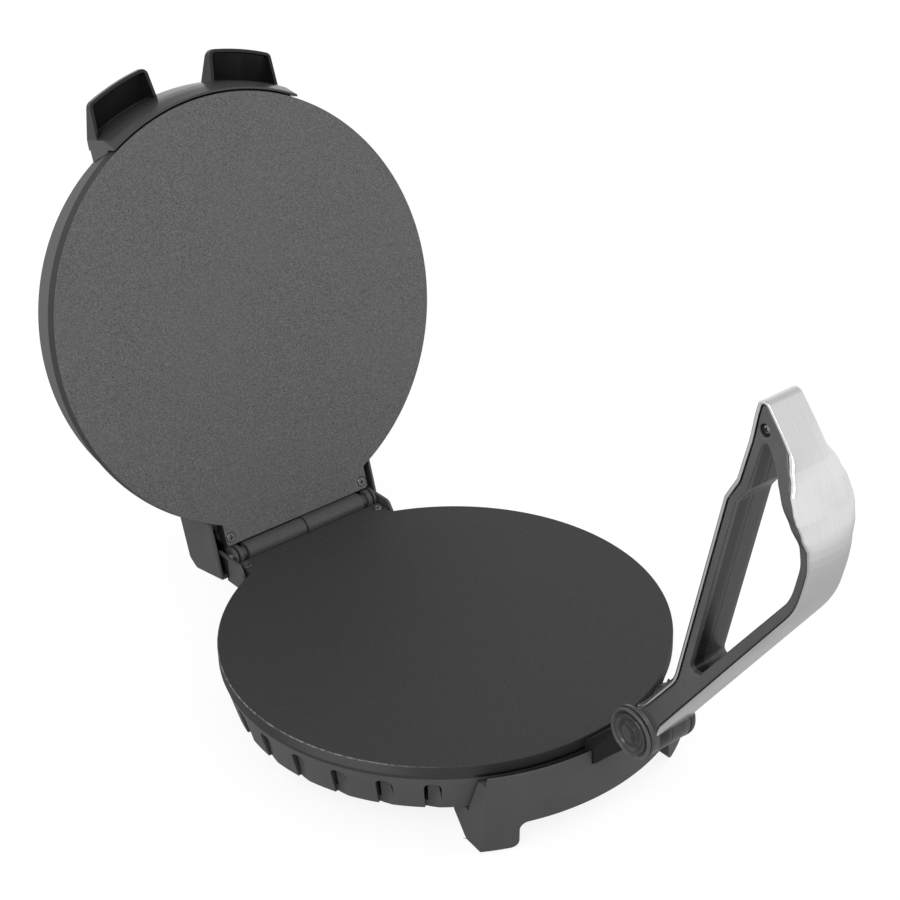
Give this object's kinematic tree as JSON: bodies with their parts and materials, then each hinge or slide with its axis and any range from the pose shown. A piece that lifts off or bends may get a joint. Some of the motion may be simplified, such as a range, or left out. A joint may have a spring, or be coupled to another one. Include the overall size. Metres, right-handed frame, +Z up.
{
  "type": "roti maker",
  "caption": "Electric roti maker with a hinged lid, two round hot plates and a fold-over pressing lever.",
  "frame": {"origin": "on the surface the feet stand on, under the middle of the overall footprint with the lid open and the lever down", "axes": "+Z up, +Y from the lever at the front towards the lid hinge at the back, +X to the right seen from the front"},
  "size_m": [0.255, 0.5124, 0.3234],
  "materials": {
    "plate_lower": "non-stick coated cast aluminium, fine satin",
    "plate_upper": "non-stick coated cast aluminium, fine satin with a slight sparkle",
    "casing": "satin dark grey moulded plastic",
    "black_plastic": "moulded, semi-gloss black",
    "satin_plastic": "moulded, satin dark grey",
    "brushed_steel": "fine lengthwise brushing",
    "dark_screw": "blackened steel",
    "sheet_steel": "plain bright steel",
    "ceramic": "off-white ceramic",
    "rubber": "black rubber",
    "lamp_red": "translucent red lens",
    "lamp_green": "translucent green lens"
  },
  "bodies": {
    "base": {"base_plate": "plate_lower", "base_shell": "casing", "bottom_cover": "casing", "base_heater": "sheet_steel", "base_reflector": "sheet_steel", "thermostat": "ceramic", "thermal_fuse": "ceramic", "terminal_block": "ceramic", "front_bracket": "satin_plastic", "rear_bracket": "satin_plastic", "cord_inlet": "rubber", "pivot_arm": "black_plastic", "hinge_pin": "sheet_steel", "pivot_pin": "sheet_steel", "foot_front_left": "rubber", "foot_front_right": "rubber", "foot_rear_left": "rubber", "foot_rear_right": "rubber", "base_hinge_screw_left": "dark_screw", "base_hinge_screw_right": "dark_screw", "pivot_arm_screw_left": "dark_screw", "pivot_arm_screw_right": "dark_screw", "bottom_screw_1": "dark_screw", "bottom_screw_2": "dark_screw", "bottom_screw_3": "dark_screw", "bottom_screw_4": "dark_screw"},
    "lid": {"lid_plate": "plate_upper", "lid_shell": "casing", "lid_heater": "sheet_steel", "lid_reflector": "sheet_steel", "lid_collar": "black_plastic", "hinge_cover": "satin_plastic", "lamp_power": "lamp_red", "lamp_ready": "lamp_green", "lid_hinge_screw_left": "dark_screw", "lid_hinge_screw_right": "dark_screw"},
    "lever": {"lever_left": "black_plastic", "lever_right": "black_plastic", "lever_band": "brushed_steel", "pivot_cap_left": "black_plastic", "pivot_cap_right": "black_plastic", "lever_tip_screw": "dark_screw"}
  },
  "joints": [
    {"name": "lid_hinge", "type": "hinge", "parent": "base", "child": "lid", "pos_m": [0, 0.15423, 0.052], "axis": [1, 0, 0], "range_deg": [0, 105]},
    {"name": "lever_pivot", "type": "hinge", "parent": "base", "child": "lever", "pos_m": [0, -0.14927, 0.0791], "axis": [1, 0, 0], "range_deg": [-103.6, 0]}
  ]
}
